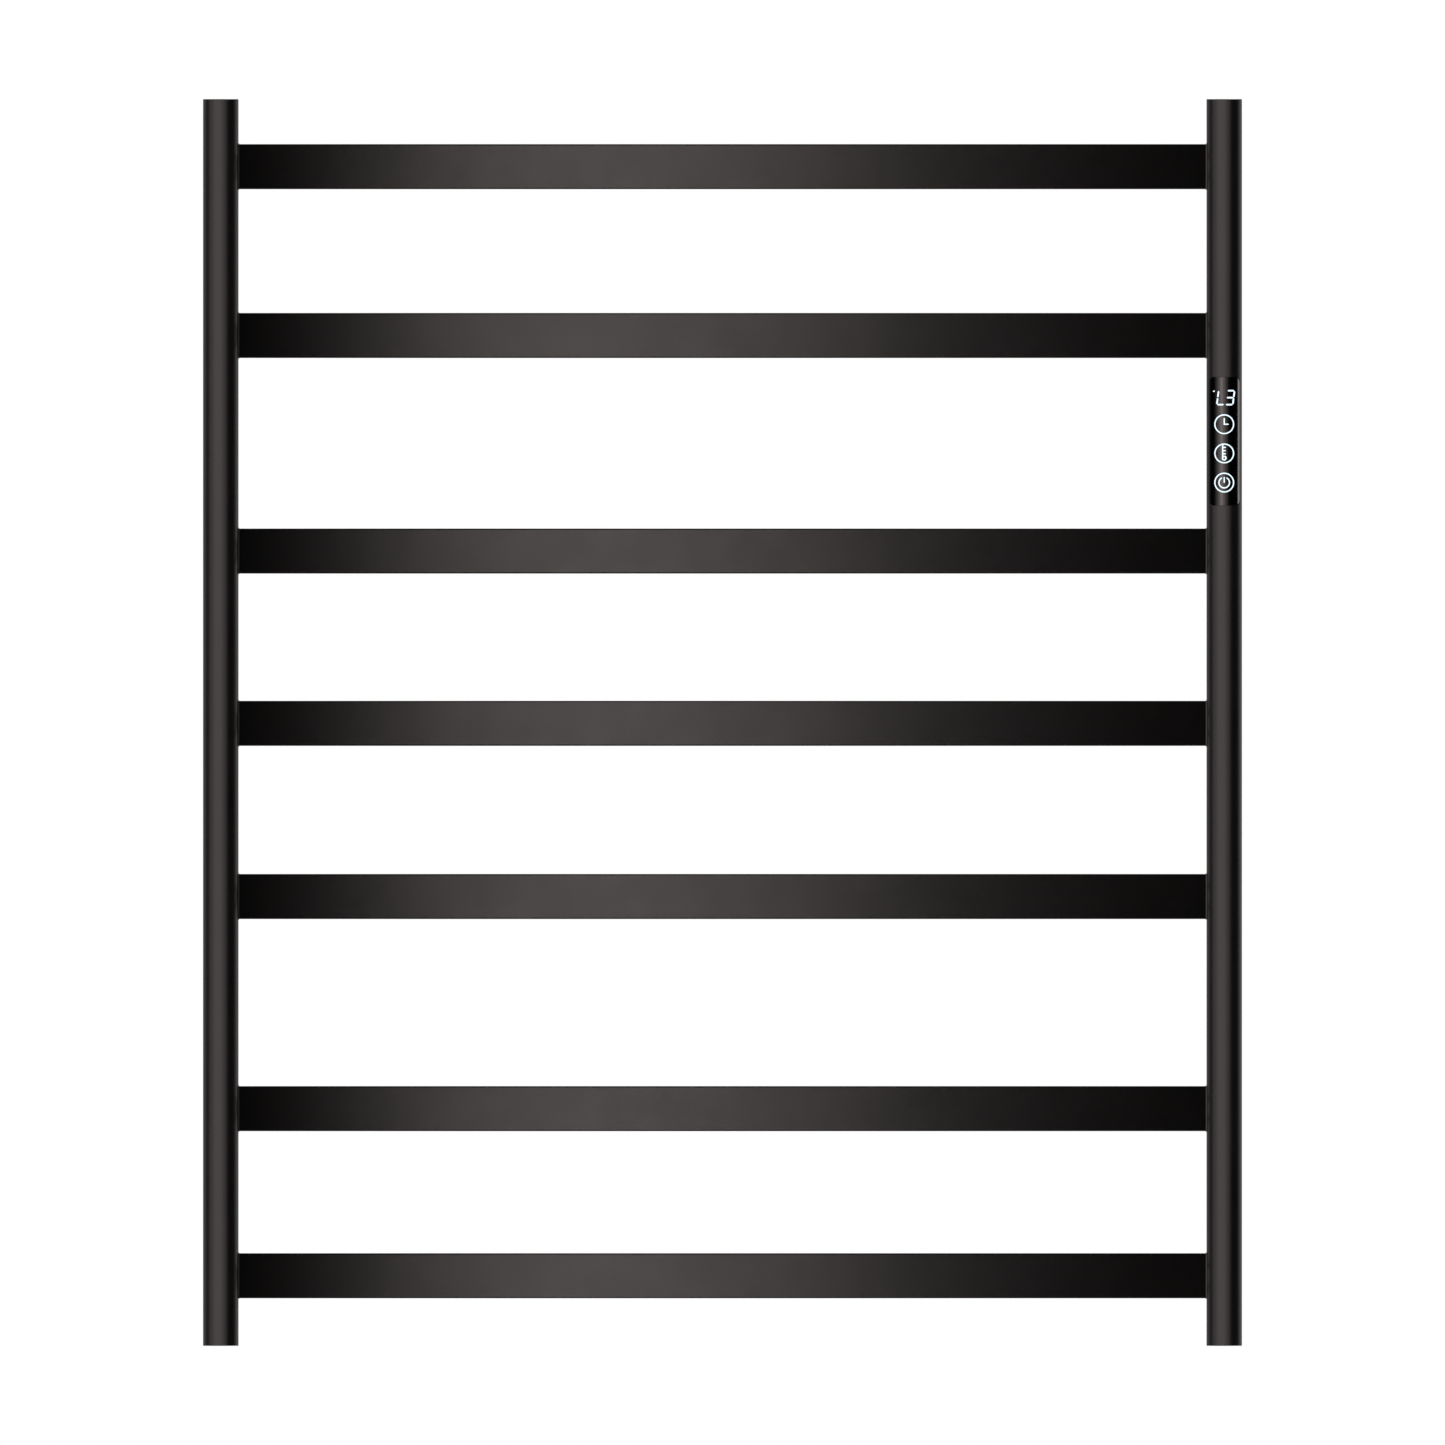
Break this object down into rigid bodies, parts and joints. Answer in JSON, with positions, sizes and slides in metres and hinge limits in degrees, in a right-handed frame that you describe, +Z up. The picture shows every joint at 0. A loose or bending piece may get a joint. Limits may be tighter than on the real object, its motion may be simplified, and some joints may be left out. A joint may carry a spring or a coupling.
{
  "type": "towel warmer rack",
  "caption": "Wall-mounted electric towel warmer: two round black posts, flat heated bars in groups, and a touch control panel on the right post.",
  "frame": {"origin": "middle of the four wall-screw holes, on the wall plane", "axes": "+Z up, +X to the right when facing the rack, +Y into the wall; the rack's front faces -Y"},
  "size_m": [0.6, 0.0853, 0.72],
  "materials": {
    "coated_steel": "satin black coating with a faint warm sheen",
    "plain_steel": "turned steel, zinc plated",
    "lens_gloss_black": "polished black",
    "lit_white": "lit symbols, cool white",
    "black_rubber": "matt",
    "black_plastic": "moulded",
    "grey_plastic": "moulded",
    "board_green": "solder mask",
    "copper": "plated contact",
    "brass": "plain",
    "sleeve_cream": "insulating sleeve",
    "cable_silicone": "silicone cable sheath",
    "lead_insulation": "lead insulation"
  },
  "bodies": {
    "wall_mounts": {"left_top_base": "plain_steel", "left_bottom_base": "plain_steel", "right_top_base": "plain_steel", "right_bottom_base": "plain_steel"},
    "rack": {"left_post": "coated_steel", "right_post": "coated_steel", "bar_1": "coated_steel", "bar_2": "coated_steel", "bar_3": "coated_steel", "bar_4": "coated_steel", "bar_5": "coated_steel", "bar_6": "coated_steel", "bar_7": "coated_steel", "left_top_cap": "coated_steel", "left_bottom_cap": "coated_steel", "right_top_cap": "coated_steel", "right_bottom_cap": "coated_steel", "left_top_sleeve": "coated_steel", "left_bottom_sleeve": "coated_steel", "right_top_sleeve": "coated_steel", "right_bottom_sleeve": "coated_steel", "grub_screws": "plain_steel", "control_lens": "lens_gloss_black", "lens_gasket": "black_rubber", "display_module": "black_plastic", "icon_leds": "lit_white", "touch_rings": "copper", "touch_board": "board_green", "controller_carrier": "grey_plastic", "ribbon_lead": "grey_plastic", "power_board": "board_green", "power_components": "black_plastic", "insulating_sleeve": "sleeve_cream", "heating_cable": "cable_silicone", "thermal_cutoff": "plain_steel", "splice_crimps": "copper", "heater_leads": "cable_silicone", "temperature_sensor": "black_plastic", "sensor_lead": "grey_plastic", "terminal_block": "grey_plastic", "mains_leads": "lead_insulation", "earth_screw": "brass", "earth_lug": "brass", "earth_lead": "lead_insulation", "cable_grommet": "black_rubber"}
  },
  "joints": [
    {"name": "rack_slide", "type": "slide", "parent": "wall_mounts", "child": "rack", "axis": [0, -1, 0], "range_m": [0, 0.035]}
  ]
}
